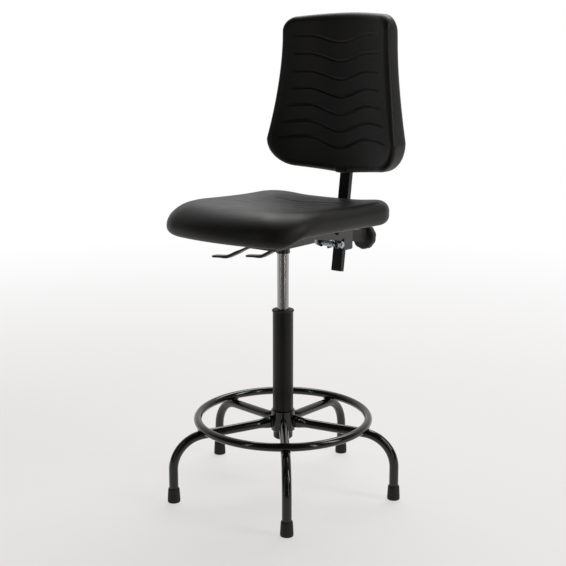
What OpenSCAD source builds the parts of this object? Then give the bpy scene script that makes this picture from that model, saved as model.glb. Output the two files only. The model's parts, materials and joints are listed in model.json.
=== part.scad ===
// Drafting chair: five-leg base with foot ring, gas lift, moulded foam seat and backrest.
// Millimetres, +Z up. Origin on the floor under the column, sitter faces -Y, sitter's left is +X.

/* [Base] */
// Radius of the circle the five feet stand on
foot_circle_r = 277.5; // [262:0.5:330]
// Outer diameter of a leg tube
leg_d = 22; // [18:0.5:26]
// Radius of the bend in a leg, on its centre line
leg_bend_r = 80; // [66:1:90]
// Height of a leg's centre where it meets the hub
leg_hub_z = 171; // [150:1:200]
// Fall of a leg from the hub outwards, in degrees
leg_slope = 3.8; // [0:0.1:5]
// Turn of the base against the seat at rest, in degrees
base_turn = 3.74; // [-36:0.01:36]
// Height of a rubber foot cap
cap_h = 34.5; // [28:0.5:42]
// Radius of the foot ring, on its centre line
ring_r = 208.6; // [180:0.1:225]
// Diameter of the foot ring's tube
ring_d = 19.3; // [16:0.1:24]
// Outer diameter of the hub sleeve
hub_d = 58; // [55:0.5:70]

/* [Gas lift] */
// Outer diameter of the outer tube
tube_d = 50; // [46:0.5:52]
// Height of the outer tube's top
tube_top_z = 447; // [400:1:470]
// Diameter of the chromed cylinder
lift_d = 28; // [25:0.5:32]

/* [Seat] */
// Height of the seat plate's top face at the column
seat_z = 656; // [652:1:690]
// Backward slope of the seat, in degrees
seat_rake = 1.5; // [0:0.1:4]
// Width of the seat
seat_w = 388; // [320:1:470]
// Reach of the seat in front of the column
seat_front = 262; // [215:1:300]
// Reach of the seat behind the column
seat_rear = 217; // [190:1:219]
// Thickness of the seat foam
seat_t = 57; // [45:1:70]

/* [Levers] */
// Length of the flat grip of each lever
grip_len = 48; // [36:1:64]
// Width of the lever straps
strap_w = 22; // [16:0.5:24]

/* [Backrest] */
// Width of the back bar
bar_w = 30; // [24:0.5:36]
// Thickness of the back bar
bar_t = 15; // [12:0.5:18]
// Backward lean of the back bar, in degrees
bar_lean = 8.4; // [4:0.1:10]
// Height of the backrest
back_h = 398; // [330:1:450]
// Width of the backrest at its top
back_w_top = 320; // [260:1:370]
// Width of the backrest at its widest
back_w_low = 390; // [330:1:450]
// Thickness of the backrest foam at its middle
back_t = 45; // [40:0.5:56]
// Diameter of the clamp knob
knob_d = 67; // [56:0.5:80]

/* [Hidden] */
$fn = 48;
cut = 0.5;                                  // how far a cutter runs past a face
fit_gap = 0.05;                             // radial running clearance
soft_gap = 0.3;                             // clearance round soft parts
leg_n = 5;
leg_wall = 1.5;
run_lap = 0.5;                              // how far the straight tube reaches over the bend
run_step = 0.02;                            // and how much wider it is there
leg_r = leg_d / 2;
hub_r = hub_d / 2;
hub_h = 52;
hub_z0 = leg_hub_z - 23;
sole_t = 6;                                 // rubber under the end of a leg
tube_wall = 1.5;
tube_r = tube_d / 2;
tube_z0 = hub_z0 - 20;                      // lower end of the outer tube
neck_r = tube_r - 1.5;                      // narrowed lower end of the outer tube
floor_t = 3;                                // plate that closes the outer tube
lift_r = lift_d / 2;
lift_wall = 2.5;
bore_r = lift_r - lift_wall;
collar_h = 4.3;
bush_len = 76;
taper_drop = 0.7;                           // radius lost over the tapered end
socket_z0 = seat_z - 67;
socket_h = 22;
lift_top_z = socket_z0 + 23;
lift_z0 = 300;
rod_r = 5;
rod_tip_r = 4;
stack_z = tube_z0 + floor_t;                // where the bearing stack starts
web_z = seat_z - 49;                        // underside of the mechanism channel
sheet_t = 3;
channel_x = 40;
channel_y0 = -78;
channel_y1 = 74;
lever_z = seat_z - 40;                      // height of both lever pivots
lever_x = -33;
strap_t = 5;
pin_r = 3;
pin_rise = 4.4;                             // valve pin's straight part above the cylinder
tilt_lever_y = -60;
height_lever_y = 40;
axle_y = 190;
axle_z = seat_z - 70;
axle_r = 5;
spring_len = 34;
carrier_x = 27;                             // outer face of the carrier's side plates
carrier_t = 3.5;
yoke_x = 28;                                // inner face of the yoke's arms
yoke_t = 4;
bar_y = 239.6;                              // bar centre where the clamp screw meets it
clamp_z = seat_z - 57.9;
bar_down = 87;                              // bar length below the clamp screw
bar_up = 306;                               // bar length above the clamp screw
boss_s0 = bar_t / 2 + 12;
boss_s1 = 96;
knob_s = 101;
knob_t = 20;
back_z0 = seat_z + 103;                   // lowest point of the backrest
back_y = 232;                               // front face of the backrest at its middle
back_front_r = 325;
back_rear_r = 600;
back_wide_z = 82;                           // height of the widest line above the lowest point
back_low_r = 70;                            // rounding of the two lower corners
back_top_r = 36;                            // rounding of the two upper corners
back_crown = 7;                             // rise of the top edge to its middle
pivot_s = bar_up - 14;                      // backrest pivot, measured up the bar
groove_w = 38;                              // width of the channel in the pad for the bar

// Leg path in its own radial plane
bend_r0 = foot_circle_r - leg_bend_r;
run_r1 = bend_r0 + leg_bend_r * sin(leg_slope);
run_z1 = leg_hub_z - (run_r1 - hub_r) * tan(leg_slope);
bend_z = run_z1 - leg_bend_r * cos(leg_slope);
pinch_len = 36;
ring_lift = leg_bend_r + leg_r + ring_d / 2 + 0.4;
ring_gap = ring_lift - leg_bend_r;
ring_z = ring_r > bend_r0 + ring_lift * sin(leg_slope)
    ? bend_z + sqrt(ring_lift * ring_lift - pow(ring_r - bend_r0, 2))
    : run_z1 + (run_r1 - ring_r) * tan(leg_slope) + ring_gap / cos(leg_slope);

function leg_angle(k) = 90 + base_turn + k * 360 / leg_n;
function bar_point(s) = [0, bar_y + s * sin(bar_lean), clamp_z + s * cos(bar_lean)];
function leg_names() = [for (k = [1 : leg_n]) str("leg_", k)];
function cap_names() = [for (k = [1 : leg_n]) str("foot_cap_", k)];
function bolt_names() = [for (k = [1 : 4]) str("seat_bolt_", k)];

steel_black = [0.07, 0.07, 0.08];
satin_black = [0.12, 0.11, 0.11];
chrome_tone = [0.82, 0.83, 0.85];
zinc_tone = [0.70, 0.74, 0.80];
foam_tone = [0.13, 0.12, 0.13];
plastic_tone = [0.22, 0.22, 0.23];
rubber_tone = [0.10, 0.10, 0.10];
brass_tone = [0.72, 0.60, 0.35];
wood_tone = [0.62, 0.48, 0.32];

module ring_solid(r_out, r_in, h)
{
    difference()
    {
        cylinder(r = r_out, h = h);
        translate([0, 0, -cut])
            cylinder(r = r_in, h = h + 2 * cut);
    }
}

module along_x(x0, r, len)
{
    translate([x0, 0, 0])
        rotate([0, 90, 0])
            cylinder(r = r, h = len);
}

module along_y(y0, r, len)
{
    translate([0, y0, 0])
        rotate([-90, 0, 0])
            cylinder(r = r, h = len);
}

// ---- base ----

module leg_place(k)
{
    rotate([0, 0, leg_angle(k)])
        children();
}

module leg_run(r, r_from)
{
    translate([run_r1, 0, run_z1])
        rotate([0, leg_slope - 90, 0])
            translate([0, 0, -run_lap])
                cylinder(r = r + run_step, h = run_lap + (run_r1 - r_from) / cos(leg_slope));
}

module leg_bend(r)
{
    translate([bend_r0, 0, bend_z])
        rotate([90, 0, 0])
            rotate_extrude(angle = 90 - leg_slope)
                translate([leg_bend_r, 0])
                    circle(r = r);
}

module leg_drop(r, z0)
{
    translate([foot_circle_r, 0, z0])
        cylinder(r = r, h = bend_z - z0);
}

module leg_pinch()
{
    // flattened end of the tube, welded upright against the hub
    run_z0 = leg_hub_z - pinch_len * tan(leg_slope);
    difference()
    {
        hull()
        {
            translate([hub_r - 6, 0, leg_hub_z])
                rotate([0, 90, 0])
                    scale([1, 0.34, 1])
                        cylinder(r = 15.5 * leg_d / 22, h = 8, $fn = 32);
            translate([hub_r + pinch_len + 1.2, 0, run_z0])
                rotate([0, 90 + leg_slope, 0])
                    cylinder(r = leg_r - 0.5, h = 0.4, center = true, $fn = 32);
        }
        translate([0, 0, hub_z0 - 40])
            cylinder(r = hub_r + 0.02, h = hub_h + 80);
    }
}

module leg_piece(k)
{
    color(steel_black)
        leg_place(k)
        {
            difference()
            {
                union()
                {
                    leg_run(leg_r, hub_r + pinch_len);
                    leg_bend(leg_r);
                    leg_drop(leg_r, sole_t);
                }
                leg_run(leg_r - leg_wall, hub_r + pinch_len + 2);
                leg_bend(leg_r - leg_wall);
                leg_drop(leg_r - leg_wall, sole_t - cut);
            }
            leg_pinch();
        }
}

module foot_cap(k)
{
    foot = leg_r + 4.2;
    top = leg_r + 2.25;
    color(rubber_tone)
        leg_place(k)
            translate([foot_circle_r, 0, 0])
                difference()
                {
                    rotate_extrude()
                        polygon([[0, 0], [foot - 1.8, 0], [foot - 0.5, 0.6], [foot, 2],
                                 [foot, 7], [top + 0.5, cap_h - 3], [top - 0.6, cap_h], [0, cap_h]]);
                    translate([0, 0, sole_t - 0.05])
                        cylinder(r = leg_r + fit_gap, h = cap_h);
                }
}

module foot_ring()
{
    color(steel_black)
        translate([0, 0, ring_z])
            rotate_extrude($fn = 96)
                translate([ring_r, 0])
                    difference()
                    {
                        circle(r = ring_d / 2);
                        circle(r = ring_d / 2 - leg_wall);
                    }
}

module weld_beads()
{
    // short beads each side of the ring over every leg, and each side of a leg at the hub
    color(steel_black)
        for (k = [1 : leg_n])
            leg_place(k)
            {
                for (side = [-1, 1])
                    translate([ring_r + side * 4.6, 0, ring_z - ring_d / 2 + 0.5])
                        along_y(-4.5, 1.7, 9);
                for (side = [-1, 1])
                    translate([hub_r + 0.3, side * 5.2, leg_hub_z - 9])
                        cylinder(r = 1.6, h = 18);
            }
}

module hub_sleeve()
{
    color(steel_black)
        translate([0, 0, hub_z0])
            rotate_extrude()
                polygon([[tube_r + 0.02, 1], [tube_r + 1, 0], [hub_r - 1.5, 0], [hub_r, 1.5],
                         [hub_r, hub_h - 1.5], [hub_r - 1.5, hub_h], [tube_r + 0.02, hub_h]]);
}

module lift_outer_tube()
{
    color(satin_black)
        rotate_extrude()
            polygon([[rod_tip_r + 0.3, tube_z0], [neck_r - 3, tube_z0], [neck_r, tube_z0 + 3],
                     [neck_r, hub_z0 + 1], [tube_r, hub_z0 + 3], [tube_r, tube_top_z],
                     [tube_r - tube_wall, tube_top_z], [tube_r - tube_wall, hub_z0 + 4],
                     [neck_r - 2, hub_z0], [neck_r - 2, tube_z0 + floor_t],
                     [rod_tip_r + 0.3, tube_z0 + floor_t]]);
}

module guide_bush()
{
    inner = tube_r - tube_wall - fit_gap;
    color(plastic_tone)
        rotate_extrude()
            polygon([[lift_r + fit_gap, tube_top_z - bush_len], [inner, tube_top_z - bush_len],
                     [inner, tube_top_z + 0.05], [tube_r + 1.8, tube_top_z + 0.05],
                     [tube_r + 1.8, tube_top_z + 2.4], [tube_r, tube_top_z + collar_h],
                     [lift_r + 1.4, tube_top_z + collar_h], [lift_r + fit_gap, tube_top_z + 3]]);
}

module bearing_lower_race()
{
    color(zinc_tone)
        translate([0, 0, stack_z + 0.05])
            ring_solid(13, rod_tip_r + 0.3, 2);
}

// ---- piston rod, turns in the base ----

module bearing_balls()
{
    color(chrome_tone)
        for (k = [0 : 9])
            rotate([0, 0, k * 36])
                translate([9, 0, stack_z + 4.1])
                    sphere(r = 2);
}

module bearing_upper_race()
{
    color(zinc_tone)
        translate([0, 0, stack_z + 6.15])
            ring_solid(13, rod_tip_r + 0.02, 2);
}

module rod_cushion()
{
    color(rubber_tone)
        translate([0, 0, stack_z + 8.2])
            ring_solid(11, rod_r + 0.02, 14);
}

module piston_rod()
{
    shoulder = stack_z + 8.17;
    color(chrome_tone)
        rotate_extrude()
            polygon([[0, tube_z0 - 5], [rod_tip_r - 0.6, tube_z0 - 5], [rod_tip_r, tube_z0 - 4],
                     [rod_tip_r, tube_z0 - 2.2], [rod_tip_r - 0.8, tube_z0 - 2.2],
                     [rod_tip_r - 0.8, tube_z0 - 1], [rod_tip_r, tube_z0 - 1],
                     [rod_tip_r, shoulder], [rod_r, shoulder], [rod_r, lift_z0 + 112],
                     [0, lift_z0 + 112]]);
}

module rod_clip()
{
    color(zinc_tone)
        translate([0, 0, tube_z0 - 2.1])
            difference()
            {
                cylinder(r = 8, h = 1);
                translate([0, 0, -cut])
                    cylinder(r = rod_tip_r - 0.78, h = 2);
                translate([0, -2.6, -cut])
                    cube([10, 5.2, 2]);
            }
}

module rod_piston()
{
    color(brass_tone)
        translate([0, 0, lift_z0 + 98])
            ring_solid(bore_r - 0.08, rod_r + 0.02, 13);
}

// ---- lift cylinder and seat mechanism ----

module lift_cylinder()
{
    color(chrome_tone)
        rotate_extrude()
            polygon([[bore_r, lift_z0], [lift_r - 1, lift_z0], [lift_r, lift_z0 + 1],
                     [lift_r, socket_z0 + 2], [lift_r - taper_drop, lift_top_z - 1],
                     [lift_r - taper_drop - 1, lift_top_z], [pin_r + 0.05, lift_top_z],
                     [pin_r + 0.05, lift_top_z - 30], [bore_r, lift_top_z - 30]]);
}

module lift_gland()
{
    color(zinc_tone)
        translate([0, 0, lift_z0 + 1])
            ring_solid(bore_r - 0.02, rod_r + fit_gap, 20);
}

module valve_pin()
{
    color(chrome_tone)
    {
        translate([0, 0, lift_top_z - 22])
            cylinder(r = pin_r, h = 22 + pin_rise);
        translate([0, 0, lift_top_z + pin_rise])
            sphere(r = pin_r);
    }
}

module taper_socket()
{
    wide = lift_r + 3;
    color(steel_black)
        rotate_extrude()
            polygon([[lift_r + 0.03, socket_z0 + 1], [lift_r + 1, socket_z0], [wide - 0.8, socket_z0],
                     [wide, socket_z0 + 0.8], [wide, socket_z0 + socket_h],
                     [lift_r - taper_drop + 0.03, socket_z0 + socket_h],
                     [lift_r - taper_drop + 0.03, lift_top_z - 1], [lift_r + 0.03, socket_z0 + 2]]);
}

module seat_frame()
{
    translate([0, 0, seat_z])
        rotate([-seat_rake, 0, 0])
            children();
}

module mechanism_channel()
{
    inner = channel_x - sheet_t;
    color(steel_black)
        difference()
        {
            union()
            {
                difference()
                {
                    translate([-channel_x, channel_y0, web_z])
                        cube([2 * channel_x, channel_y1 - channel_y0, 60]);
                    translate([-inner, channel_y0 + sheet_t, web_z + sheet_t])
                        cube([2 * inner, channel_y1 - channel_y0 - 2 * sheet_t, 70]);
                }
                // ears that carry the two lever pins
                for (y = [tilt_lever_y, height_lever_y])
                    for (side = [-1, 1])
                        translate([-channel_x + 1, y + side * (strap_w / 2 + 2) - 1.25, web_z + 1])
                            cube([17, 2.5, 18]);
            }
            seat_frame()
                translate([-150, -200, -3.05])
                    cube([300, 400, 90]);
            translate([0, 0, web_z - cut])
                cylinder(r = lift_r + 3.02, h = 12);
            for (y = [tilt_lever_y, height_lever_y])
            {
                translate([-channel_x - 1, y - strap_w / 2 - 0.6, web_z - 8])
                    cube([14, strap_w + 1.2, 26]);
                translate([lever_x, 0, lever_z])
                    along_y(y - strap_w / 2 - 6, pin_r + 0.02, strap_w + 12);
            }
        }
}

module seat_plate()
{
    color(steel_black)
        seat_frame()
            difference()
            {
                translate([-80, -100, -3])
                    cube([160, 200, 2.98]);
                for (x = [-1, 1])
                    for (y = [-1, 1])
                        translate([x * 62, y * 80, -4])
                            cylinder(r = 4.4, h = 5);
            }
}

module seat_bolt(k)
{
    x = (k % 2 == 0) ? 62 : -62;
    y = (k > 2) ? 80 : -80;
    color(zinc_tone)
        seat_frame()
            translate([x, y, 0])
            {
                translate([0, 0, -8.4])
                    cylinder(r = 7.5, h = 5.35, $fn = 6);
                translate([0, 0, -4])
                    cylinder(r = 3.98, h = 13);
            }
}

module seat_board()
{
    color(wood_tone)
        seat_frame()
            difference()
            {
                translate([-(seat_w / 2 - 50), -125, 0])
                    cube([seat_w - 100, 290, 12]);
                for (x = [-1, 1])
                    for (y = [-1, 1])
                        translate([x * 62, y * 80, -1])
                            cylinder(r = 4.1, h = 11);
            }
}

function arc(cx, cy, r, a0, a1, n) = [for (i = [0 : n]) let (a = a0 + (a1 - a0) * i / n)
    [cx + r * cos(a), cy + r * sin(a)]];

module seat_plan()
{
    // rounded outline with a bowed front edge
    half = seat_w / 2;
    bow = 26;
    corner = 92;
    back_corner = 78;
    y0 = -seat_front + bow;
    front = [for (i = [0 : 12]) let (x = -half + corner + (2 * half - 2 * corner) * i / 12)
        [x, y0 - bow * (1 - pow(x / (half - corner / 3), 2))]];
    polygon(concat(
        front,
        arc(half - corner, y0 + corner - bow * 0.35, corner, -78, 0, 8),
        arc(half - back_corner, seat_rear - back_corner, back_corner, 0, 90, 8),
        arc(-half + back_corner, seat_rear - back_corner, back_corner, 90, 180, 8),
        arc(-half + corner, y0 + corner - bow * 0.35, corner, 180, 258, 8)));
}

module seat_side()
{
    // side view: flat top, rolled front that hangs below the rest
    low = -17;
    nose = 30;
    y0 = -seat_front;
    top = seat_t + 1;
    polygon(concat(
        [[seat_rear + 1, 6], [seat_rear + 1, top - 18]],
        arc(seat_rear - 17, top - 18, 18, 0, 90, 5),
        arc(y0 + nose, top - nose, nose, 90, 180, 7),
        arc(y0 + 26, low + 26, 26, 180, 270, 6),
        [[y0 + 56, low], [y0 + 90, 3], [-130, 3], [seat_rear - 12, 3]]));
}

module seat_front_view()
{
    // front view: the upper side edges are rounded
    half = seat_w / 2 + 0.5;
    top = seat_t + 1;
    edge = 24;
    polygon(concat(
        [[-half, -40], [half, -40]],
        arc(half - edge, top - edge, edge, 0, 90, 5),
        arc(-half + edge, top - edge, edge, 90, 180, 5)));
}

module seat_pad()
{
    color(foam_tone)
        seat_frame()
            difference()
            {
                intersection()
                {
                    translate([0, 0, -40])
                        linear_extrude(height = 140)
                            seat_plan();
                    translate([-seat_w, 0, 0])
                        rotate([90, 0, 90])
                            linear_extrude(height = 2 * seat_w)
                                seat_side();
                    translate([0, seat_rear + 20, 0])
                        rotate([90, 0, 0])
                            linear_extrude(height = seat_front + seat_rear + 40)
                                seat_front_view();
                }
                translate([-(seat_w / 2 - 50) - soft_gap, -125 - soft_gap, -1])
                    cube([seat_w - 100 + 2 * soft_gap, 290 + 2 * soft_gap, 13 + soft_gap]);
            }
}

// A strap bent along a line of [x, z] points, drawn with a thickness
function strap_side(p, t) = [for (i = [0 : len(p) - 1])
    let (a = p[max(i - 1, 0)], b = p[min(i + 1, len(p) - 1)], d = b - a, n = norm(d))
    [p[i][0] - d[1] / n * t, p[i][1] + d[0] / n * t]];

function reversed(p) = [for (i = [len(p) - 1 : -1 : 0]) p[i]];

module strap(path, y0, wide)
{
    translate([0, y0 + wide, 0])
        rotate([90, 0, 0])
            linear_extrude(height = wide)
                polygon(concat(strap_side(path, strap_t / 2), reversed(strap_side(path, -strap_t / 2))));
}

module lever(path, y)
{
    difference()
    {
        union()
        {
            strap(path, y - strap_w / 2, strap_w);
            translate([lever_x, 0, lever_z])
                along_y(y - strap_w / 2, pin_r + 2.6, strap_w);
        }
        translate([lever_x, 0, lever_z])
            along_y(y - strap_w / 2 - cut, pin_r + fit_gap, strap_w + 2 * cut);
    }
}

module tilt_lever()
{
    z = lever_z;
    color(satin_black)
        lever([[-14, z + 2], [-30, z + 2], [-44, z - 6], [-63, z - 14.5], [-112, z - 37.5],
               [-122, z - 41], [-122 - grip_len, z - 45]], tilt_lever_y);
}

module height_lever()
{
    z = lever_z;
    color(satin_black)
    {
        lever([[-14, z + 6], [-27, z + 6], [-38, z - 2], [-46, z - 15], [-57, z - 30],
               [-64, z - 35.5], [-90, z - 49.5], [-99, z - 52.5], [-99 - grip_len, z - 56.5]],
              height_lever_y);
        // tongue that reaches over the valve pin
        translate([-15, -8, z + 4])
            cube([23, height_lever_y + strap_w / 2 + 8, strap_t]);
    }
}

module lever_pin(y)
{
    color(zinc_tone)
        translate([lever_x, 0, lever_z])
            along_y(y - strap_w / 2 - 4, pin_r, strap_w + 8);
}

module rear_yoke()
{
    color(steel_black)
        difference()
        {
            for (side = [-1, 1])
                translate([side > 0 ? yoke_x : -yoke_x - yoke_t, 0, 0])
                    rotate([90, 0, 90])
                        linear_extrude(height = yoke_t)
                            polygon([[channel_y1 + 0.02, seat_z - 42], [channel_y1 + 0.02, seat_z - 18],
                                     [120, seat_z - 18], [axle_y + 9, axle_z + 16],
                                     [axle_y + 9, axle_z - 4], [axle_y + 4, axle_z - 9],
                                     [axle_y - 4, axle_z - 9], [axle_y - 8, axle_z - 5],
                                     [axle_y - 10, axle_z + 12]]);
            translate([0, axle_y, axle_z])
                along_x(-60, axle_r + 0.02, 120);
        }
}

module tilt_axle()
{
    color(zinc_tone)
        translate([0, axle_y, axle_z])
        {
            along_x(-yoke_x - yoke_t - 3, axle_r, 2 * (yoke_x + yoke_t) + 14);
            translate([-yoke_x - yoke_t - 6.5, 0, 0])
                rotate([0, 90, 0])
                    cylinder(r = 9.5, h = 6.4, $fn = 6);
        }
}

module axle_nut()
{
    color(zinc_tone)
        translate([yoke_x + yoke_t + 0.1, axle_y, axle_z])
            rotate([0, 90, 0])
                difference()
                {
                    cylinder(r = 9.5, h = 8, $fn = 6);
                    translate([0, 0, -cut])
                        cylinder(r = axle_r + 0.02, h = 9);
                }
}

// ---- back carrier, tilts on the axle ----

module bar_frame()
{
    translate([0, bar_y, clamp_z])
        rotate([-bar_lean, 0, 0])
            children();
}

module back_carrier()
{
    inner = carrier_x - carrier_t;
    top = seat_z - 24;
    color(steel_black)
        difference()
        {
            for (side = [-1, 1])
                translate([side > 0 ? inner : -carrier_x, 0, 0])
                    rotate([90, 0, 90])
                        linear_extrude(height = carrier_t)
                            union()
                            {
                                translate([axle_y, axle_z])
                                    circle(r = 11);
                                polygon([[axle_y - 9, axle_z + 6], [axle_y + 4, axle_z + 9],
                                         [axle_y + 26.8, axle_z + 12], [axle_y + 27, axle_z - 18],
                                         [axle_y + 29, axle_z - 20], [axle_y + 63, axle_z - 20],
                                         [axle_y + 65, axle_z - 18], [axle_y + 65, top],
                                         [axle_y + 30, top], [axle_y - 6, axle_z + 22]]);
                            }
            translate([0, axle_y, axle_z])
                along_x(-60, axle_r + fit_gap, 120);
        }
}

module bar_guide()
{
    inner = carrier_x - carrier_t - 0.02;
    color(plastic_tone)
        difference()
        {
            bar_frame()
            {
                translate([-inner, -bar_t / 2 - 6, -8])
                    cube([2 * inner, bar_t + 18, 40]);
                translate([-15, bar_t / 2 + 11, -12])
                    cube([30, boss_s1 - bar_t / 2 - 11, 30]);
            }
            bar_frame()
            {
                translate([-bar_w / 2 - soft_gap, -bar_t / 2 - soft_gap, -30])
                    cube([bar_w + 2 * soft_gap, bar_t + 2 * soft_gap, 90]);
                along_y(bar_t / 2, 6.05, 3.2);
                along_y(bar_t / 2, axle_r + fit_gap, boss_s1);
            }
        }
}

module clamp_shoe()
{
    color(brass_tone)
        bar_frame()
            along_y(bar_t / 2 + soft_gap + 0.05, 6, 2.6);
}

module tilt_spring()
{
    // close-wound coil drawn as rings on a thin sleeve
    coil_r = 7;
    wire_r = 1.45;
    color(zinc_tone)
        translate([0, axle_y, axle_z])
            rotate([0, 90, 0])
                difference()
                {
                    union()
                    {
                        translate([0, 0, -spring_len / 2])
                            cylinder(r = coil_r, h = spring_len);
                        for (i = [0 : 9])
                            translate([0, 0, (i - 4.5) * spring_len / 10.3])
                                rotate_extrude($fn = 32)
                                    translate([coil_r, 0])
                                        circle(r = wire_r, $fn = 16);
                    }
                    translate([0, 0, -30])
                        cylinder(r = coil_r - 1.5, h = 60);
                }
}

// ---- clamp knob ----

module clamp_knob()
{
    rim = knob_d / 2;
    color(plastic_tone)
        bar_frame()
            translate([0, knob_s, 0])
                rotate([-90, 0, 0])
                    difference()
                    {
                        rotate_extrude()
                            polygon([[0, -4], [13, -4], [13, 0], [rim - 5, 0], [rim - 1, 2], [rim, 5],
                                     [rim, knob_t - 6], [rim - 1.5, knob_t - 2], [rim - 6, knob_t],
                                     [0, knob_t]]);
                        for (k = [0 : 15])
                            rotate([0, 0, k * 22.5])
                                translate([rim + 2, 0, -1])
                                    cylinder(r = 4, h = knob_t + 2);
                        translate([0, 0, -5])
                            cylinder(r = axle_r + 0.02, h = knob_t);
                    }
}

module clamp_stud()
{
    color(zinc_tone)
        bar_frame()
            along_y(bar_t / 2 + 3.3, axle_r, knob_s + knob_t - 6 - bar_t / 2 - 3.3);
}

// ---- back bar ----

module back_bar()
{
    color(satin_black)
        bar_frame()
            difference()
            {
                translate([-bar_w / 2, -bar_t / 2, -bar_down])
                    cube([bar_w, bar_t, bar_down + bar_up]);
                translate([-bar_w / 2 + 2, -bar_t / 2 + 2, -bar_down - 1])
                    cube([bar_w - 4, bar_t - 4, bar_down + bar_up + 2]);
                translate([0, 0, pivot_s])
                    along_x(-bar_w, 4 + fit_gap, 2 * bar_w);
            }
}

module bar_end_cap()
{
    color(plastic_tone)
        bar_frame()
        {
            translate([-bar_w / 2, -bar_t / 2, -bar_down - 3])
                cube([bar_w, bar_t, 2.98]);
            translate([-bar_w / 2 + 2.05, -bar_t / 2 + 2.05, -bar_down - 1])
                cube([bar_w - 4.1, bar_t - 4.1, 14]);
        }
}

// ---- backrest, nods on the top of the bar ----

module pivot_frame()
{
    translate(bar_point(pivot_s))
        children();
}

module back_pivot_pin()
{
    color(zinc_tone)
        pivot_frame()
        {
            along_x(-bar_w / 2 - 6, 4, bar_w + 12);
            along_x(-bar_w / 2 - 8, 4.8, 3);
            along_x(bar_w / 2 + 5, 4.8, 3);
        }
}

module back_bracket()
{
    // folded steel plate on the pad with two ears beside the bar
    p = bar_point(pivot_s);
    plate_y = back_y + back_t - 2.6;
    color(steel_black)
        difference()
        {
            union()
            {
                difference()
                {
                    translate([-50, plate_y, p[2] - 30])
                        cube([100, sheet_t, 110]);
                    translate([-bar_w / 2 - 2, plate_y - 1, p[2] - 31])
                        cube([bar_w + 4, 6, 52]);
                }
                for (side = [-1, 1])
                    translate([side > 0 ? bar_w / 2 + 0.5 : -bar_w / 2 - 4.5, plate_y, p[2] - 14])
                        cube([4, p[1] - plate_y + 10, 28]);
            }
            translate(p)
                along_x(-60, 4.02, 120);
            for (x = [-38, 38])
                for (z = [-20, 66])
                    translate([x, 0, p[2] + z])
                        along_y(plate_y - 1, 2.9, 6);
        }
}

module back_screw(x, z)
{
    p = bar_point(pivot_s);
    plate_y = back_y + back_t - 2.6;
    color(zinc_tone)
        translate([x, 0, p[2] + z])
        {
            along_y(plate_y - 10, 2.5, 13.2);
            along_y(plate_y + sheet_t + 0.05, 5, 2.4);
        }
}

module back_screws()
{
    for (x = [-38, 38])
        for (z = [-20, 66])
            back_screw(x, z);
}

module back_insert()
{
    // moulded-in plate that takes the screws
    p = bar_point(pivot_s);
    plate_y = back_y + back_t - 2.6;
    color(wood_tone)
        difference()
        {
            translate([-60, plate_y - 10.05, p[2] - 45])
                cube([120, 10, 140]);
            translate([-groove_w / 2, plate_y - 20, p[2] - 46])
                cube([groove_w, 30, 68]);
            for (x = [-38, 38])
                for (z = [-20, 66])
                    translate([x, 0, p[2] + z])
                        along_y(plate_y - 12, 2.55, 14);
        }
}

function back_half(u) = back_w_top / 2 + (back_w_low - back_w_top) / 2 * pow(u, 1.6);

module back_outline()
{
    // half widths grow from the top to the widest line, then round off below
    n = 10;
    side_h = back_h - back_crown - 1.25 * back_top_r - back_wide_z;
    corner_x = back_w_top / 2 - back_top_r;
    side = [for (i = [0 : n]) let (u = 1 - i / n) [back_half(u), back_wide_z + side_h * i / n]];
    low = arc(back_w_low / 2 - back_low_r, back_wide_z, back_low_r, -84, 0, 7);
    high = arc(corner_x, back_h - back_crown - back_top_r, back_top_r, 15, 84, 5);
    crown = [for (i = [1 : 5]) let (t = 1 - i / 3) [corner_x * t, back_h - back_crown * t * t]];
    half = concat(low, side, high);
    mirrored = [for (i = [len(half) - 1 : -1 : 0]) [-half[i][0], half[i][1]]];
    polygon(concat(half, crown, mirrored, [[0, 0]]));
}

module back_pad()
{
    p = bar_point(pivot_s);
    plate_y = back_y + back_t - 2.6;
    color(foam_tone)
        difference()
        {
            intersection()
            {
                translate([0, back_y + 150, back_z0])
                    rotate([90, 0, 0])
                        linear_extrude(height = 300)
                            back_outline();
                difference()
                {
                    translate([0, back_y + back_t - back_rear_r, back_z0 - 10])
                        cylinder(r = back_rear_r, h = back_h + 20, $fn = 96);
                    translate([0, back_y - back_front_r, back_z0 - 20])
                        cylinder(r = back_front_r, h = back_h + 40, $fn = 96);
                }
            }
            // recess for the insert and the bracket, and the channel for the bar
            translate([-60 - soft_gap, plate_y - 10.05 - soft_gap, p[2] - 45 - soft_gap])
                cube([120 + 2 * soft_gap, 60, 140 + 2 * soft_gap]);
            translate([-groove_w / 2, bar_y + 6, back_z0 - 10])
                cube([groove_w, 60, p[2] - back_z0 + 20]);
        }
}

// ---- assembly ----

leg_piece(1);  // leg_1
leg_piece(2);  // leg_2
leg_piece(3);  // leg_3
leg_piece(4);  // leg_4
leg_piece(5);  // leg_5
foot_cap(1);  // foot_cap_1
foot_cap(2);  // foot_cap_2
foot_cap(3);  // foot_cap_3
foot_cap(4);  // foot_cap_4
foot_cap(5);  // foot_cap_5
seat_bolt(1);  // seat_bolt_1
seat_bolt(2);  // seat_bolt_2
seat_bolt(3);  // seat_bolt_3
seat_bolt(4);  // seat_bolt_4
hub_sleeve();
foot_ring();
weld_beads();
lift_outer_tube();
guide_bush();
bearing_lower_race();
bearing_balls();
bearing_upper_race();
rod_cushion();
piston_rod();
rod_clip();
rod_piston();
lift_cylinder();
lift_gland();
valve_pin();
taper_socket();
mechanism_channel();
seat_plate();
seat_board();
seat_pad();
tilt_lever();
height_lever();
lever_pin(tilt_lever_y);  // tilt_lever_pin
lever_pin(height_lever_y);  // height_lever_pin
rear_yoke();
tilt_axle();
axle_nut();
back_carrier();
bar_guide();
clamp_shoe();
tilt_spring();
clamp_knob();
clamp_stud();
back_bar();
bar_end_cap();
back_pivot_pin();
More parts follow.
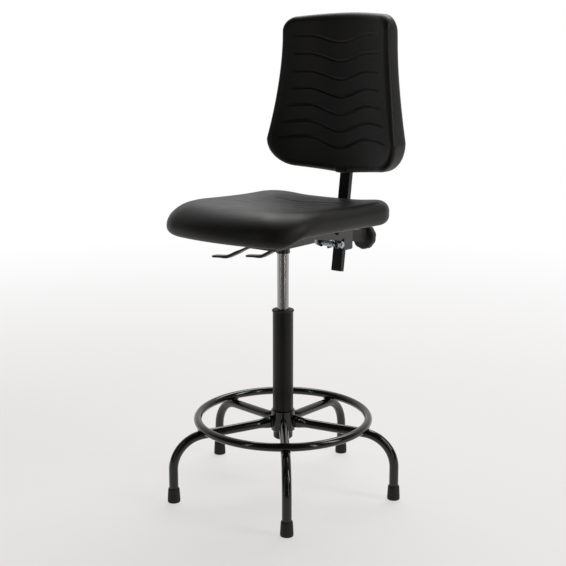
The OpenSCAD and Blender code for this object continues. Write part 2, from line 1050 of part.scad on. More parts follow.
back_bracket();
back_screws();
back_insert();
back_pad();
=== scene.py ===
import json
import math

import bmesh
import bpy
from mathutils import Matrix, Vector


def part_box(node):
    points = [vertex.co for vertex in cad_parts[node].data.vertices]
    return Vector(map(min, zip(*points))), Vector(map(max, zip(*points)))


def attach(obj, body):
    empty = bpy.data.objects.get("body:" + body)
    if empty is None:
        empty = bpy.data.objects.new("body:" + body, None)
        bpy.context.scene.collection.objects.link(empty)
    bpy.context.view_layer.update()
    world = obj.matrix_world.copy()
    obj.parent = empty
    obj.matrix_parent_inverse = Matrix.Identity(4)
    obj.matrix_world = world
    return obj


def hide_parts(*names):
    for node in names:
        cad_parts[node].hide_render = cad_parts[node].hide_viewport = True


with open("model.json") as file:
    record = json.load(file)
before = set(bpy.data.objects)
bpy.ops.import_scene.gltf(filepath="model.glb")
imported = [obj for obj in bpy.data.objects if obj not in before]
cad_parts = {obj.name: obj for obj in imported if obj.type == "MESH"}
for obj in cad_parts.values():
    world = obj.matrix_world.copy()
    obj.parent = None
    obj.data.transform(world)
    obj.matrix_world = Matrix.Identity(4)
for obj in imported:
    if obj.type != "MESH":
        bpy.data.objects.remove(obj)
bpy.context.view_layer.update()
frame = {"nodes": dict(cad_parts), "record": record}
nodes = frame["nodes"]
mm = 0.001
print("frame loaded with", len(nodes), "nodes")


# Materials

def linearColour(text):
    # a hex value as it is picked on a screen, turned to the linear values a shader takes
    parts = [int(text[i:i + 2], 16) / 255 for i in (1, 3, 5)]
    return [*(c / 12.92 if c <= 0.04045 else ((c + 0.055) / 1.055) ** 2.4 for c in parts), 1.0]


def addNode(tree, kind, settings=None, values=None, links=None):
    # one node, its settings, its socket values and what feeds it
    made = tree.nodes.new(kind)
    for key, value in (settings or {}).items():
        setattr(made, key, value)
    for key, value in (values or {}).items():
        made.inputs[key].default_value = value
    for key, (source, out) in (links or {}).items():
        tree.links.new(source.outputs[out], made.inputs[key])
    return made


def surface(name, dark, light, patchSize, rough, roughSpread, grainSize, grainDepth,
            stretch=(1, 1, 1), **constant):
    # shared build: two tones in soft patches, uneven roughness, a fine grain as bump; sizes in mm
    material = bpy.data.materials.new(name)
    material.use_nodes = True
    tree = material.node_tree
    shader = tree.nodes["Principled BSDF"]
    for key, value in constant.items():
        shader.inputs[key.replace("_", " ")].default_value = value
    where = addNode(tree, "ShaderNodeTexCoord")
    spread = addNode(tree, "ShaderNodeMapping", values={"Scale": stretch},
                     links={"Vector": (where, "Object")})
    patches = addNode(tree, "ShaderNodeTexNoise",
                      values={"Scale": 1000 / patchSize, "Detail": 4, "Roughness": 0.6},
                      links={"Vector": (spread, 0)})
    tones = addNode(tree, "ShaderNodeValToRGB", links={"Fac": (patches, 0)})
    tones.color_ramp.elements[0].position = 0.3
    tones.color_ramp.elements[1].position = 0.72
    tones.color_ramp.elements[0].color = linearColour(dark)
    tones.color_ramp.elements[1].color = linearColour(light)
    tree.links.new(tones.outputs[0], shader.inputs["Base Color"])
    uneven = addNode(tree, "ShaderNodeMapRange",
                     values={"From Min": 0.3, "From Max": 0.7,
                             "To Min": rough - roughSpread, "To Max": rough + roughSpread},
                     links={"Value": (patches, 0)})
    tree.links.new(uneven.outputs[0], shader.inputs["Roughness"])
    grain = addNode(tree, "ShaderNodeTexNoise", values={"Scale": 1000 / grainSize, "Detail": 3},
                    links={"Vector": (spread, 0)})
    bump = addNode(tree, "ShaderNodeBump", values={"Strength": 0.6, "Distance": grainDepth * mm},
                   links={"Height": (grain, 0)})
    tree.links.new(bump.outputs[0], shader.inputs["Normal"])
    return material, tree, shader, bump, where


# Integral-skin polyurethane, moulded: a closed black skin, half matt, with a fine pebbled grain
skin, skinTree, skinShader, skinBump, skinWhere = surface(
    "polyurethaneSkinMoulded", "#0c0a08", "#17130f", 55, 0.47, 0.04, 9, 0.05,
    Specular_IOR_Level=0.27)
pebbleSize = 1.6  # mm across a cell
pebble = addNode(skinTree, "ShaderNodeTexVoronoi", {"feature": "SMOOTH_F1"},
                 {"Scale": 1000 / pebbleSize, "Smoothness": 0.5}, {"Vector": (skinWhere, "Object")})
pebbleBump = addNode(skinTree, "ShaderNodeBump", values={"Strength": 0.35, "Distance": 0.12 * mm},
                     links={"Height": (pebble, 0), "Normal": (skinBump, 0)})
skinTree.links.new(pebbleBump.outputs[0], skinShader.inputs["Normal"])
# Mild steel, powder coated in gloss black: deep, with a faint orange peel
powder = surface("steelPowderCoatedGloss", "#050404", "#090807", 70, 0.14, 0.03, 3.2, 0.035,
                 Specular_IOR_Level=0.42, Coat_Weight=0.2, Coat_Roughness=0.06)[0]
# Mild steel, sprayed satin black: softer and greyer, finer peel
satin = surface("steelSprayedSatin", "#0a0807", "#120e0c", 60, 0.34, 0.04, 2.4, 0.03,
                Specular_IOR_Level=0.3)[0]
# Hard chrome, ground and then polished: faint patches drawn out along the stroke, hardly any texture
chrome = surface("chromeGround", "#979594", "#a3a1a0", 40, 0.17, 0.03, 1.4, 0.001, (1, 1, 0.3),
                 Metallic=1.0)[0]
# Steel, bright zinc plated in a barrel: bluish, a little cloudy
zinc = surface("steelZincPlated", "#9fa9b6", "#c3ccd6", 9, 0.27, 0.08, 1.5, 0.02, Metallic=1.0)[0]
# Brass, turned: visible only where the shoe meets the bar
brass = surface("brassTurned", "#8c6f3a", "#b08f52", 10, 0.3, 0.05, 0.8, 0.02, Metallic=1.0)[0]
# Glass-filled nylon, spark-eroded mould: grey-black, quite matt, sandy texture
nylon = surface("nylonSparkTextured", "#1c1b1a", "#2a2928", 30, 0.54, 0.06, 0.9, 0.06,
                Specular_IOR_Level=0.4)[0]
# Natural rubber, moulded: dull, with a dusty bloom in patches
rubber = surface("rubberMoulded", "#121110", "#201e1c", 16, 0.62, 0.07, 1.8, 0.05, Specular_IOR_Level=0.35)[0]
# Beech plywood, sawn: long grain in pale brown
plywood = surface("beechPlywoodSawn", "#8a6a47", "#b8946a", 14, 0.62, 0.08, 0.9, 0.08, (0.12, 1, 1))[0]

finishOf = {"steel_black": powder, "tube_black": satin, "chrome": chrome, "zinc": zinc, "brass": brass,
            "foam": skin, "plastic": nylon, "rubber": rubber, "wood": plywood}
slotOf = {s["node"]: s["material_slot"] for s in frame["record"]["subparts"]}
for name, node in nodes.items():
    node.data.materials.clear()
    node.data.materials.append(finishOf[slotOf[name]])
print("materials made:", len(finishOf))

# Pressed and turned edges catch the light, so the plain nodes get a small round on them
edgeRounds = {"mechanism_channel": 1.2, "seat_plate": 0.8, "rear_yoke": 0.9, "back_carrier": 0.9,
              "back_bracket": 0.8, "back_bar": 2.2, "bar_guide": 1.4, "axle_nut": 0.6, "tilt_axle": 0.5,
              "bar_end_cap": 1.0, "seat_bolt_1": 0.5, "seat_bolt_2": 0.5, "seat_bolt_3": 0.5,
              "seat_bolt_4": 0.5, "seat_board": 1.5}  # widths in mm
for name, width in edgeRounds.items():
    joined = nodes[name].modifiers.new("join", "WELD")
    joined.merge_threshold = 0.00002
    edge = nodes[name].modifiers.new("edge", "BEVEL")
    edge.width = width * mm
    edge.segments = 3
    edge.limit_method = "ANGLE"
    edge.angle_limit = math.radians(50)
    edge.use_clamp_overlap = True
    edge.harden_normals = True


# Shared shapes

def finished(name, bm, material, slotName, body, *stoodFor):
    # a mesh made an object, smooth, in its finish, riding on its body and standing for its CAD nodes
    bmesh.ops.recalc_face_normals(bm, faces=bm.faces)
    for face in bm.faces:
        face.smooth = True
    mesh = bpy.data.meshes.new(name)
    bm.to_mesh(mesh)
    bm.free()
    mesh.materials.append(material)
    piece = bpy.data.objects.new(name, mesh)
    bpy.context.scene.collection.objects.link(piece)
    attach(piece, body)
    if stoodFor:
        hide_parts(*stoodFor)
    return piece


def ringShell(count, placeRings, capFirst, capLast):
    # a circle carried ring by ring over a surface; placeRings holds a function for each ring, which
    # gives the place of a vertex from its number
    bm = bmesh.new()
    first = list(bmesh.ops.create_circle(bm, cap_ends=False, radius=1, segments=count)["verts"])
    for i, v in enumerate(first):
        v.co = placeRings[0](i)
    loop = first
    for place in placeRings[1:]:
        edges = [bm.edges.get((loop[i], loop[(i + 1) % count])) for i in range(count)]
        made = bmesh.ops.extrude_edge_only(bm, edges=edges)["geom"]
        fresh = [g for g in made if isinstance(g, bmesh.types.BMVert)]
        current = set(loop)
        partner = {e.other_vert(v): v for v in fresh for e in v.link_edges if e.other_vert(v) in current}
        loop = [partner[v] for v in loop]
        for i, v in enumerate(loop):
            v.co = place(i)
    for ring, wanted in ((first, capFirst), (loop, capLast)):
        if wanted:
            face = bm.faces.new(ring)
            bmesh.ops.poke(bm, faces=[face])
    return bm


def arcPoints(cx, cy, r, start, stop, count):
    # a stretch of a circle; angles in degrees
    angles = [math.radians(start + (stop - start) * i / count) for i in range(count + 1)]
    return [(cx + r * math.cos(a), cy + r * math.sin(a)) for a in angles]


def evenly(points, count):
    # a closed line walked in equal steps
    closed = points + points[:1]
    lengths = [0.0]
    for a, b in zip(closed, closed[1:]):
        lengths.append(lengths[-1] + math.dist(a, b))
    out, k = [], 0
    for i in range(count):
        target = lengths[-1] * i / count
        while lengths[k + 1] < target:
            k += 1
        t = (target - lengths[k]) / max(lengths[k + 1] - lengths[k], 1e-9)
        out.append(tuple(a + (b - a) * t for a, b in zip(closed[k], closed[k + 1])))
    return out


def smoothStep(a, b, x):
    t = min(max((x - a) / (b - a), 0), 1)
    return t * t * (3 - 2 * t)


def groove(distance, width, depth):
    # a soft channel with a low lip on each side
    g = distance / width
    return depth * math.exp(-g * g * 4) - 0.12 * depth * math.exp(-(abs(g) - 1.15) ** 2 * 9)


def waveRow(x, half, rise, peak, droop):
    # flat towards the ends, dipping to the middle; the lower rows fall again past their peaks
    u = abs(x)
    level = rise * 0.5 * (1 - math.cos(math.pi * min(u / peak, 1)))
    if u > peak:
        level -= droop * ((u - peak) / max(half - peak, 1)) ** 2
    return level


def padShell(outline, centre, face, rear, faceRim, rearRim, faceRings, rearRings, toWorld):
    # the whole pad: rear middle, rear rim, side, front rim, front middle; the rims' sizes may change
    # along the outline
    count = len(outline)
    reach = [math.dist(p, centre) for p in outline]
    # where the pad is thin, both rims are shallower so that they never cross
    spans = [face(*p) - rear(*p) for p in outline]
    faceRims = [(faceRim(*p)[0], min(faceRim(*p)[1], 0.72 * span)) for p, span in zip(outline, spans)]
    rearRims = [(rearRim(*p)[0], min(rearRim(*p)[1], span - front[1] - 0.5))
                for p, span, front in zip(outline, spans, faceRims)]

    def ring(rims, turned, share, surfaceOf, sign):
        # a rim is a quarter ellipse (inward, deep); share is how far on towards the centre
        def at(i):
            p = outline[i]
            wide, deep = rims[i]
            k = (1 - wide * (1 - math.cos(turned)) / reach[i]) * (1 - share)
            x, y = centre[0] + (p[0] - centre[0]) * k, centre[1] + (p[1] - centre[1]) * k
            return toWorld(x, y, surfaceOf(x, y) + sign * deep * (1 - math.sin(turned)))
        return at

    quarter = math.pi / 2
    rings = [ring(rearRims, quarter, (j / (rearRings + 1)) ** 0.9, rear, 1) for j in range(rearRings, 0, -1)]
    rings += [ring(rearRims, quarter * j / 10, 0, rear, 1) for j in range(10, -1, -1)]
    rings += [ring(faceRims, quarter * j / 12, 0, face, -1) for j in range(13)]
    rings += [ring(faceRims, quarter, j / (faceRings + 1), face, -1) for j in range(1, faceRings + 1)]
    return ringShell(count, rings, True, True)


# Seat

seatPad = {"half": 194, "front": 262, "rear": 217, "bow": 26, "frontCorner": 92, "rearCorner": 78,
           "cornerTurn": 78, "plateHeight": 656, "rake": 1.5, "thick": 58, "dish": 6.5, "wings": 3.5,
           "rearDip": 5, "frontDip": 3, "rows": 4, "rowGap": 44, "firstRow": -72, "rowHalf": 118,
           "rowGrow": 5, "rowRise": 17, "rowPeak": 80, "rowDroop": 4, "rowFade": 26, "grooveWidth": 5.5,
           "grooveDepth": 1.5, "underside": 3, "lip": 20,
           "sideRim": (30, 27), "frontRim": (78, 50), "lowRim": (20, 20), "frontLowRim": (26, 21)}


def seatOutline():
    # a bowed front running into its corners at the same slope, then the sides and the rear
    s = seatPad
    corner, rearCorner = s["frontCorner"], s["rearCorner"]
    span = s["half"] - corner
    turn = math.radians(s["cornerTurn"])
    reach = span + corner * math.cos(turn)

    def bowed(x):
        return -s["front"] + s["bow"] * (x / (s["half"] - corner / 3)) ** 2

    front = [(reach * i / 12, bowed(reach * i / 12)) for i in range(-12, 13)]
    cy = bowed(reach) + corner * math.sin(turn)
    rearX, rearY = s["half"] - rearCorner, s["rear"] - rearCorner
    return (front + arcPoints(span, cy, corner, -s["cornerTurn"], 0, 16)[1:]
            + arcPoints(rearX, rearY, rearCorner, 0, 90, 16)
            + arcPoints(-rearX, rearY, rearCorner, 90, 180, 16)
            + arcPoints(-span, cy, corner, 180, 180 + s["cornerTurn"], 16)[:-1])


def seatTop(x, y):
    s = seatPad
    z = s["thick"] - s["dish"] * math.exp(-(x / 120) ** 2 - ((y - 30) / 135) ** 2)
    z += s["wings"] * smoothStep(90, 190, abs(x)) * smoothStep(60, 210, y)
    z -= s["rearDip"] * smoothStep(120, 215, y) * (1 - smoothStep(60, 180, abs(x)))
    z -= s["frontDip"] * smoothStep(-140, -262, y)
    for k in range(s["rows"]):
        half = s["rowHalf"] + s["rowGrow"] * k
        line = s["firstRow"] + s["rowGap"] * k + waveRow(x, half, s["rowRise"], s["rowPeak"], s["rowDroop"])
        fade = 1 - smoothStep(half - s["rowFade"], half, abs(x))
        if fade > 0 and abs(y - line) < 16:
            z -= fade * groove(y - line, s["grooveWidth"], s["grooveDepth"])
    return z


def seatUnder(x, y):
    # flat over the board, with a lip that hangs down at the front
    return seatPad["underside"] - seatPad["lip"] * smoothStep(-162, -214, y)


def seatWorld(x, y, z):
    a = math.radians(-seatPad["rake"])
    return Vector((x, y * math.cos(a) - z * math.sin(a),
                   seatPad["plateHeight"] + y * math.sin(a) + z * math.cos(a))) * mm


def seatTopRim(x, y):
    # the front rolls over in a wide round, the sides and rear in a tighter one
    front = smoothStep(-95, -235, y)
    return tuple(a + (b - a) * front for a, b in zip(seatPad["sideRim"], seatPad["frontRim"]))


def seatLowRim(x, y):
    front = smoothStep(-150, -235, y)
    return tuple(a + (b - a) * front for a, b in zip(seatPad["lowRim"], seatPad["frontLowRim"]))


seatMesh = padShell(evenly(seatOutline(), 440), (0, -18), seatTop, seatUnder, seatTopRim, seatLowRim,
                    88, 34, seatWorld)
seatPiece = finished("seatCushion", seatMesh, skin, "foam", "seat_unit", "seat_pad")
print("seat cushion:", len(seatPiece.data.polygons), "faces")

# Backrest

backPad = {"front": 232, "thick": 45, "low": 759, "tall": 398, "topWidth": 320, "lowWidth": 390,
           "widestAt": 82, "lowCorner": 70, "topCorner": 36, "crown": 7, "cornerTurn": 84, "sideLean": 6,
           "sideEnd": 52, "flare": 1.6, "frontRound": 325, "rearRound": 600,
           "faceRim": (22, 19), "rearRim": (27, 25), "rows": 7, "topRow": 1084.7, "rowStep": 46.2,
           "rowTighten": 0.45, "rowHalf": 127, "rowRise": 18, "rowPeak": 92, "grooveWidth": 4.0,
           "grooveDepth": 3.0, "shoulderThin": 5, "channelWidth": 38, "channelWall": 245.8,
           "channelEnd": (17, 24), "pivotHeight": 887.0, "insertFace": 274.4, "overInsert": 0.6,
           "cover": ((62, 70), (-57, -48), (98, 107)), "plate": ((51, 56), (-37, -32), (82, 87))}


def backOutline():
    # from the lowest point up one side, over the crown and down the other
    s = backPad
    z0, top, wide = s["low"], s["tall"], s["widestAt"]
    topHalf, lowHalf = s["topWidth"] / 2, s["lowWidth"] / 2
    side = []
    for i in range(25):
        u = 1 - i / 24
        side.append((topHalf + (lowHalf - topHalf) * u ** s["flare"],
                     wide + (top - s["sideEnd"] - wide) * i / 24))
    low = arcPoints(lowHalf - s["lowCorner"], wide, s["lowCorner"], -s["cornerTurn"], 0, 16)
    corner = s["topCorner"]
    high = arcPoints(topHalf - corner, top - s["crown"] - corner, corner, s["sideLean"],
                     s["cornerTurn"], 12)
    crown = [((topHalf - corner) * (1 - i / 5), top - s["crown"] * (1 - i / 5) ** 2) for i in range(1, 10)]
    half = low + side[1:] + high
    loop = half + crown + [(-x, z) for x, z in reversed(half)] + [(0, 0)]
    return [(x, z + z0) for x, z in loop]


def backFace(x, z):
    # how far forward of the column's axis the front face lies, so a negative number
    s = backPad
    y = s["front"] - s["frontRound"] + math.sqrt(s["frontRound"] ** 2 - x * x)
    for k in range(s["rows"]):
        half = s["rowHalf"] + 6 * max(k - 2, 0) ** 1.3
        trough = s["topRow"] - s["rowStep"] * k + s["rowTighten"] * k * k
        line = trough + waveRow(x, half, s["rowRise"] + 1.4 * k, s["rowPeak"], 1.6 * max(k - 1, 0))
        fade = 1 - smoothStep(half - 8, half + 3, abs(x))
        if fade > 0 and abs(z - line) < 14:
            y += fade * groove(z - line, s["grooveWidth"], s["grooveDepth"])
    return -y


def softPatch(across, up, side, foot, head):
    # 1 inside an upright rectangle, 0 outside; each limit is the pair of places where the change runs
    return (1 - smoothStep(*side, abs(across))) * smoothStep(*foot, up) * (1 - smoothStep(*head, up))


def backRear(x, z):
    s = backPad
    y = s["front"] + s["thick"] - s["rearRound"] + math.sqrt(s["rearRound"] ** 2 - x * x)
    y -= s["shoulderThin"] * smoothStep(70, 150, abs(x)) * smoothStep(s["low"] + 330, s["low"] + 385, z)
    up = z - s["pivotHeight"]
    over = s["insertFace"] + s["overInsert"]
    y += softPatch(x, up, *s["cover"]) * max(over - y, 0)  # foam closes over the moulded-in plate
    y += softPatch(x, up, *s["plate"]) * min(over - y, 0)  # and is pressed flat under the bracket
    channel = (1 - smoothStep(s["channelWidth"] / 2 - 2, s["channelWidth"] / 2 + 3, abs(x)))
    channel *= 1 - smoothStep(*s["channelEnd"], up)
    return -(y + channel * (s["channelWall"] - y))


def backWorld(x, z, depth):
    return Vector((x, -depth, z)) * mm


backMesh = padShell(evenly(backOutline(), 520), (0, 955), backFace, backRear, lambda x, z: backPad["faceRim"],
                    lambda x, z: backPad["rearRim"], 96, 60, backWorld)
backPiece = finished("backCushion", backMesh, skin, "foam", "backrest", "back_pad")
print("back cushion:", len(backPiece.data.polygons), "faces")

# Legs: one bent tube each, its inner end squeezed flat against the hub

leg = {"footCircle": 277.5, "tube": 22, "bend": 80, "hubHeight": 171, "fall": 3.8, "hub": 58, "turn": 3.74,
       "foot": 6.4, "footEdge": 0.8, "pinch": 36, "pinchFrom": 4, "pinchWide": 5.3, "pinchTall": 15.5,
       "intoHub": 1.2}


def legRings():
    # (distance out, height, tilt of the ring in degrees, half width, half height) along the tube
    g = leg
    r = g["tube"] / 2
    fall = math.radians(g["fall"])
    bendX = g["footCircle"] - g["bend"]
    runX = bendX + g["bend"] * math.sin(fall)
    hubX = g["hub"] / 2
    runZ = g["hubHeight"] - (runX - hubX) * math.tan(fall)
    bendZ = runZ - g["bend"] * math.cos(fall)
    small = r - g["footEdge"]
    rings = [(g["footCircle"], g["foot"], 0, small, small),
             (g["footCircle"], g["foot"] + g["footEdge"], 0, r, r)]
    rings += [(g["footCircle"], g["foot"] + (bendZ - g["foot"]) * i / 6, 0, r, r) for i in range(1, 6)]
    steps = 28
    for i in range(steps + 1):
        a = (math.pi / 2 - fall) * i / steps
        out, height = bendX + g["bend"] * math.cos(a), bendZ + g["bend"] * math.sin(a)
        rings.append((out, height, math.degrees(a), r, r))
    end = 90 - g["fall"]
    straight = runX - hubX
    steps = 30
    for i in range(1, steps + 1):
        out = runX - straight * i / steps
        if i == steps:
            out = hubX - g["intoHub"]
        flat = 1 - smoothStep(hubX + g["pinchFrom"], hubX + g["pinch"], out)
        wide = r + (g["pinchWide"] - r) * flat
        tall = r + (g["pinchTall"] - r) * flat
        rings.append((out, g["hubHeight"] - (out - hubX) * math.tan(fall), end, wide, tall))
    return rings


def legMesh(k):
    turn = Matrix.Rotation(math.radians(90 + leg["turn"] + 72 * k), 4, "Z")
    count = 40

    def placer(out, height, tilt, wide, tall):
        tip = Matrix.Rotation(math.radians(-tilt), 4, "Y")

        def place(i):
            a = 2 * math.pi * i / count
            across = Vector((tall * math.cos(a), wide * math.sin(a), 0))
            return turn @ (Vector((out, 0, height)) * mm + tip @ across * mm)
        return place
    return ringShell(count, [placer(*r) for r in legRings()], True, True)


for k in range(1, 6):
    finished("legTube" + str(k), legMesh(k), powder, "steel_black", "base", "leg_" + str(k))
print("legs bent")

# Welds: a rippled bead where each leg crosses the ring and where it meets the hub

bead = {"radius": 2.0, "ringReach": 12, "ringAside": 4.9, "ringSink": 0.9, "hubReach": 11, "hubAside": 5.6,
        "hubProud": 0.4}


def beadMesh(bm, points, radius):
    # a short wobbling sausage through the points, tapering to both ends
    count = 10
    rings = []
    n = len(points)
    for j, p in enumerate(points):
        ahead = points[min(j + 1, n - 1)] - points[max(j - 1, 0)]
        turn = ahead.to_track_quat("Z", "Y").to_matrix()
        t = j / (n - 1)
        size = radius * (0.25 + 0.75 * min(1, 5 * t, 5 * (1 - t))) * (1 + 0.13 * math.sin(j * 1.9))
        rings.append(lambda i, p=p, turn=turn, size=size: p + turn @ Vector(
            (size * math.cos(2 * math.pi * i / count), size * math.sin(2 * math.pi * i / count), 0)))
    part = ringShell(count, rings, True, True)
    holder = bpy.data.meshes.new("beadPart")
    part.to_mesh(holder)
    part.free()
    bm.from_mesh(holder)
    bpy.data.meshes.remove(holder)


beads = bmesh.new()
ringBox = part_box("foot_ring")
ringHigh = (ringBox[0].z + ringBox[1].z) / 2
ringTube = (ringBox[1].z - ringBox[0].z) / 2
ringRadius = (ringBox[1].x - ringBox[0].x) / 2 - ringTube
for k in range(5):
    turn = Matrix.Rotation(math.radians(90 + leg["turn"] + 72 * k), 4, "Z")
    for side in (-1, 1):
        along = []
        for i in range(17):
            y = bead["ringReach"] * mm * (i / 8 - 1)
            out = math.sqrt((ringRadius + side * bead["ringAside"] * mm) ** 2 - y * y)
            sag = 0.55 * y * y / (leg["tube"] / 2 * mm)
            high = ringHigh - ringTube + bead["ringSink"] * mm - sag * 0.4
            along.append(turn @ Vector((out, y, high)))
        beadMesh(beads, along, bead["radius"] * mm)
        upright = []
        for i in range(17):
            height = leg["hubHeight"] + bead["hubReach"] * (i / 8 - 1)
            out = leg["hub"] / 2 * mm + bead["hubProud"] * mm
            upright.append(turn @ Vector((out, side * bead["hubAside"] * mm, height * mm)))
        beadMesh(beads, upright, bead["radius"] * mm)
finished("weldRipples", beads, powder, "steel_black", "base", "weld_beads")
print("welds laid")

# Levers: flat steel straps, bent and rounded at the tip

levers = {
    "tiltStrap": {
        "path": [(-14, 618), (-30, 618), (-44, 610), (-63, 601.5), (-88, 589.8), (-112, 578.5),
                 (-122, 575), (-146, 573), (-170, 571)],
        "across": -60, "body": "tilt_arm", "node": "tilt_lever"},
    "heightStrap": {
        "path": [(-14, 622), (-27, 622), (-38, 614), (-46, 601), (-57, 586), (-64, 580.5),
                 (-90, 566.5), (-99, 563.5), (-123, 561.5), (-147, 559.5)],
        "across": 40, "body": "height_arm", "node": "height_lever"}}
strap = {"half": 11, "thick": 5.4, "pivotX": -33, "pivotZ": 616, "boss": 5.6, "tipRound": 10,
         "coat": 0.45, "coatTip": (26, 52), "coatEnd": (104, 84)}
tongue = {"at": (-3.5, 21.5, 622), "size": (23, 59, 4)}


def bendLine(path, steps):
    # a smooth line through the bends
    out = []
    pts = [Vector((x, 0, z)) for x, z in path]
    for i in range(len(pts) - 1):
        a, b = pts[i], pts[i + 1]
        before = pts[i - 1] if i else a - (b - a)
        after = pts[i + 2] if i + 2 < len(pts) else b + (b - a)
        for j in range(steps):
            t = j / steps
            out.append(0.5 * ((2 * a) + (b - before) * t + (2 * before - 5 * a + 4 * b - after) * t * t
                              + (3 * a - before - 3 * b + after) * t ** 3))
    return out + [pts[-1]]


def strapMesh(path, across):
    line = bendLine(path, 7)
    walked = [0.0]
    for a, b in zip(line, line[1:]):
        walked.append(walked[-1] + (b - a).length)
    count = 24
    rings = []
    for j, p in enumerate(line):
        ahead = (line[min(j + 1, len(line) - 1)] - line[max(j - 1, 0)]).normalized()
        up = Vector((-ahead.z, 0, ahead.x))
        left = walked[-1] - walked[j]
        narrow = math.sqrt(max(1 - (1 - min(left / strap["tipRound"], 1)) ** 2, 0.04))
        # the coating is thickest on the slope
        grip = 1 + strap["coat"] * smoothStep(*strap["coatTip"], left) * smoothStep(*strap["coatEnd"], left)

        def place(i, p=p, up=up, narrow=narrow, grip=grip):
            a = 2 * math.pi * (i + 0.5) / count
            c, s = math.cos(a), math.sin(a)
            y = strap["half"] * narrow * math.copysign(abs(c) ** 0.28, c)
            h = strap["thick"] / 2 * grip * math.copysign(abs(s) ** 0.42, s) * (0.6 + 0.4 * narrow)
            return (p + Vector((0, across + y, 0)) + up * h) * mm
        rings.append(place)
    bm = ringShell(count, rings, True, True)
    pivot = Vector((strap["pivotX"], across, strap["pivotZ"])) * mm
    lying = Matrix.Translation(pivot) @ Matrix.Rotation(math.pi / 2, 4, "X")
    boss = bmesh.ops.create_cone(bm, cap_ends=True, segments=40, radius1=strap["boss"] * mm,
                                 radius2=strap["boss"] * mm, depth=2 * strap["half"] * mm,
                                 matrix=lying)["verts"]
    rims = list({e for v in boss for e in v.link_edges if len(e.link_faces) == 2
                 and e.calc_face_angle(0) > 1.2})
    bmesh.ops.bevel(bm, geom=rims, offset=0.5 * mm, segments=2, profile=0.5, affect="EDGES", material=-1)
    return bm


for name, lever in levers.items():
    bm = strapMesh(lever["path"], lever["across"])
    if lever["node"] == "height_lever":
        placed = (Matrix.Translation(Vector(tongue["at"]) * mm)
                  @ Matrix.Diagonal((*(Vector(tongue["size"]) * mm), 1)))
        block = bmesh.ops.create_cube(bm, size=1, matrix=placed)["verts"]
        bmesh.ops.bevel(bm, geom=list({e for v in block for e in v.link_edges}), offset=0.8 * mm, segments=2,
                        profile=0.5, affect="EDGES", material=-1)
    finished(name, bm, satin, "tube_black", lever["body"], lever["node"])
print("levers bent")

# Clamp knob: lobed nylon, dished front, on the axis of the clamp screw

knob = {"rim": 33.5, "thick": 20, "lobes": 10, "lobeDepth": 1.3, "neck": 13, "neckLong": 4, "dish": 1.6,
        "barAt": (0, 239.6, 598.1), "barLean": -8.4, "behindBar": 101}
barFrame = (Matrix.Translation(Vector(knob["barAt"]) * mm)
            @ Matrix.Rotation(math.radians(knob["barLean"]), 4, "X"))
knobFrame = (barFrame @ Matrix.Translation(Vector((0, knob["behindBar"], 0)) * mm)
             @ Matrix.Rotation(-math.pi / 2, 4, "X"))


def knobMesh():
    count = 192
    k = knob
    profile = [(k["neck"] - 1, -k["neckLong"], 0), (k["neck"], -k["neckLong"] + 1, 0), (k["neck"], -0.6, 0),
               (k["neck"] + 0.8, 0, 0), (k["rim"] - 7, 0.1, 0), (k["rim"] - 4, 0.5, 0.5),
               (k["rim"] - 1.4, 2.2, 0.85),
               (k["rim"] - 0.3, 4.4, 1), (k["rim"], 7, 1), (k["rim"], k["thick"] - 7, 1),
               (k["rim"] - 0.5, k["thick"] - 4, 1), (k["rim"] - 1.8, k["thick"] - 1.7, 0.85),
               (k["rim"] - 4.2, k["thick"] - 0.3, 0.45), (k["rim"] - 7.5, k["thick"], 0.1),
               (k["rim"] - 11, k["thick"] - 0.2, 0), (k["rim"] - 13.5, k["thick"] - k["dish"], 0),
               (9.5, k["thick"] - k["dish"], 0), (8.8, k["thick"] - k["dish"] - 0.5, 0),
               (6, k["thick"] - k["dish"] - 0.6, 0)]

    def placer(r, z, share):
        def place(i):
            a = 2 * math.pi * i / count
            wave = (0.5 + 0.5 * math.cos(a * k["lobes"])) ** 1.6
            radius = r - share * k["lobeDepth"] * wave
            return knobFrame @ (Vector((radius * math.cos(a), radius * math.sin(a), z)) * mm)
        return place
    return ringShell(count, [placer(*p) for p in profile], True, True)


finished("knobLobed", knobMesh(), nylon, "plastic", "knob", "clamp_knob")
print("knob turned")

# Tilt spring: a close coil round the axle with its two legs

spring = {"coil": 7.0, "wire": 1.45, "turns": 10, "length": 31, "axleY": 190, "axleZ": 586,
          "legs": ((30, 4), (15, 1.2))}


def springMesh():
    count = 12
    s = spring
    steps = s["turns"] * 22
    end = s["length"] / 2
    line = [Vector((-end, s["axleY"] + back, s["axleZ"] - s["coil"] + up)) for back, up in s["legs"]]
    for i in range(steps + 1):
        a = -math.pi / 2 - 2 * math.pi * s["turns"] * i / steps
        line.append(Vector((s["length"] * i / steps - end, s["axleY"] + s["coil"] * math.cos(a),
                            s["axleZ"] + s["coil"] * math.sin(a))))
    line += [Vector((end, s["axleY"] + back, s["axleZ"] - s["coil"] + up))
             for back, up in reversed(s["legs"])]
    rings = []
    for j, p in enumerate(line):
        ahead = (line[min(j + 1, len(line) - 1)] - line[max(j - 1, 0)]).normalized()
        side = ahead.cross(Vector((1, 0, 0))).normalized()
        lift = side.cross(ahead).normalized()
        rings.append(lambda i, p=p, side=side, lift=lift: (
            p + side * s["wire"] * math.cos(2 * math.pi * i / count)
            + lift * s["wire"] * math.sin(2 * math.pi * i / count)) * mm)
    return ringShell(count, rings, True, True)


finished("springCoil", springMesh(), zinc, "zinc", "carrier", "tilt_spring")
print("spring wound")

# Floor, light and camera

